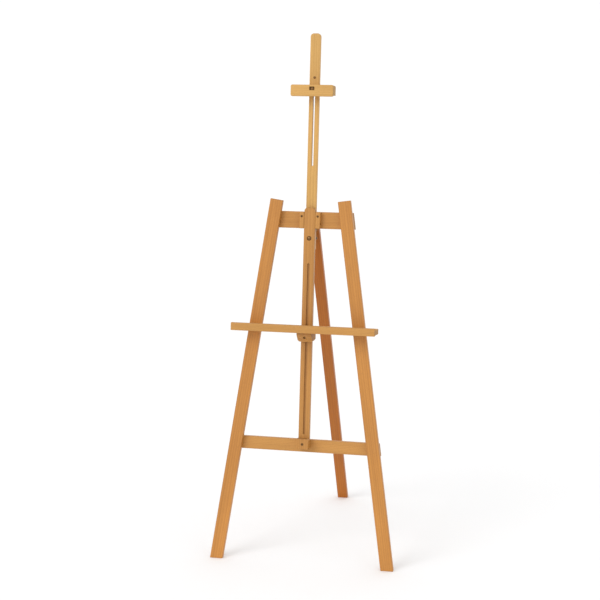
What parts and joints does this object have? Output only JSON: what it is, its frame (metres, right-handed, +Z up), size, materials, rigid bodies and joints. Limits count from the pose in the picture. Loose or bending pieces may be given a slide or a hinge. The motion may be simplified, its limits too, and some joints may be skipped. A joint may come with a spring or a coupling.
{
  "type": "wooden artist easel",
  "caption": "Folding three-legged studio easel in oiled beech: A-frame, sliding canvas tray, mast extension with top clamp, hinged rear leg.",
  "frame": {"origin": "on the floor, under the middle of the footprint of the three feet", "axes": "+X across the easel to the right of the painter, -Y towards the painter, +Z up"},
  "size_m": [0.684, 0.8234, 1.905],
  "materials": {
    "beech": "clear satin oil",
    "pale_beech": "clear satin oil",
    "fastener_steel": "bronzed",
    "hinge_brass": "brass plated, satin",
    "knob_plastic": "moulded, fine texture"
  },
  "bodies": {
    "frame": {"front_leg_left": "beech", "front_leg_right": "beech", "cross_brace": "pale_beech", "head_rail": "beech", "lower_mast": "beech", "mast_foot_block": "pale_beech", "mast_cheek_left": "beech", "mast_cheek_right": "beech", "mast_cross_dowel": "pale_beech", "brace_screw_1": "fastener_steel", "brace_screw_2": "fastener_steel", "brace_screw_3": "fastener_steel", "brace_screw_4": "fastener_steel", "head_screw_1": "fastener_steel", "head_screw_2": "fastener_steel", "head_screw_3": "fastener_steel", "head_screw_4": "fastener_steel", "cheek_screw_1": "fastener_steel", "cheek_screw_2": "fastener_steel", "foot_block_screw": "fastener_steel", "hinge_leaf_rail": "hinge_brass", "hinge_pin": "hinge_brass", "hinge_rail_screw_1": "hinge_brass", "hinge_rail_screw_2": "hinge_brass", "lock_bolt": "fastener_steel", "lock_washer": "fastener_steel"},
    "rear_leg": {"rear_leg": "beech", "hinge_leaf_leg": "hinge_brass", "hinge_leg_screw_1": "hinge_brass", "hinge_leg_screw_2": "hinge_brass"},
    "extension": {"mast_extension": "pale_beech", "extension_stop_screw": "fastener_steel"},
    "lock_knob": {"lock_knob": "knob_plastic"},
    "clamp": {"clamp_block": "pale_beech", "clamp_front_washer": "fastener_steel", "clamp_bolt": "fastener_steel", "clamp_rear_washer": "fastener_steel"},
    "clamp_knob": {"clamp_knob": "knob_plastic"},
    "tray": {"tray_board": "pale_beech", "tray_lip": "pale_beech", "tray_bracket": "beech", "tray_keeper": "beech", "tray_key": "pale_beech", "tray_key_screw": "fastener_steel", "keeper_screw_1": "fastener_steel", "keeper_screw_2": "fastener_steel", "tray_screw_1": "fastener_steel", "tray_screw_2": "fastener_steel", "lip_dowel_1": "pale_beech", "lip_dowel_2": "pale_beech", "lip_dowel_3": "pale_beech"},
    "tray_knob": {"tray_knob": "knob_plastic", "tray_clamping_screw": "fastener_steel"}
  },
  "joints": [
    {"name": "rear_leg_fold", "type": "hinge", "parent": "frame", "child": "rear_leg", "pos_m": [0, -0.20467, 1.22892], "axis": [-1, 0, 0], "range_deg": [0, 32.5]},
    {"name": "tray_slide", "type": "slide", "parent": "frame", "child": "tray", "axis": [0, 0.1219, 0.9925], "range_m": [-0.33, 0.18]},
    {"name": "tray_knob_turn", "type": "hinge", "parent": "tray", "child": "tray_knob", "pos_m": [0, -0.27044, 0.82291], "axis": [0, 0.9925, -0.1219], "continuous": true},
    {"name": "extension_slide", "type": "slide", "parent": "frame", "child": "extension", "axis": [0, 0.1219, 0.9925], "range_m": [-0.1, 0]},
    {"name": "lock_knob_turn", "type": "hinge", "parent": "frame", "child": "lock_knob", "pos_m": [0, -0.22209, 1.17565], "axis": [0, 0.9925, -0.1219], "continuous": true},
    {"name": "clamp_slide", "type": "slide", "parent": "extension", "child": "clamp", "axis": [0, 0.1219, 0.9925], "range_m": [-0.27, 0]},
    {"name": "clamp_knob_turn", "type": "hinge", "parent": "clamp", "child": "clamp_knob", "pos_m": [0, -0.15701, 1.70566], "axis": [0, 0.9925, -0.1219], "continuous": true}
  ]
}
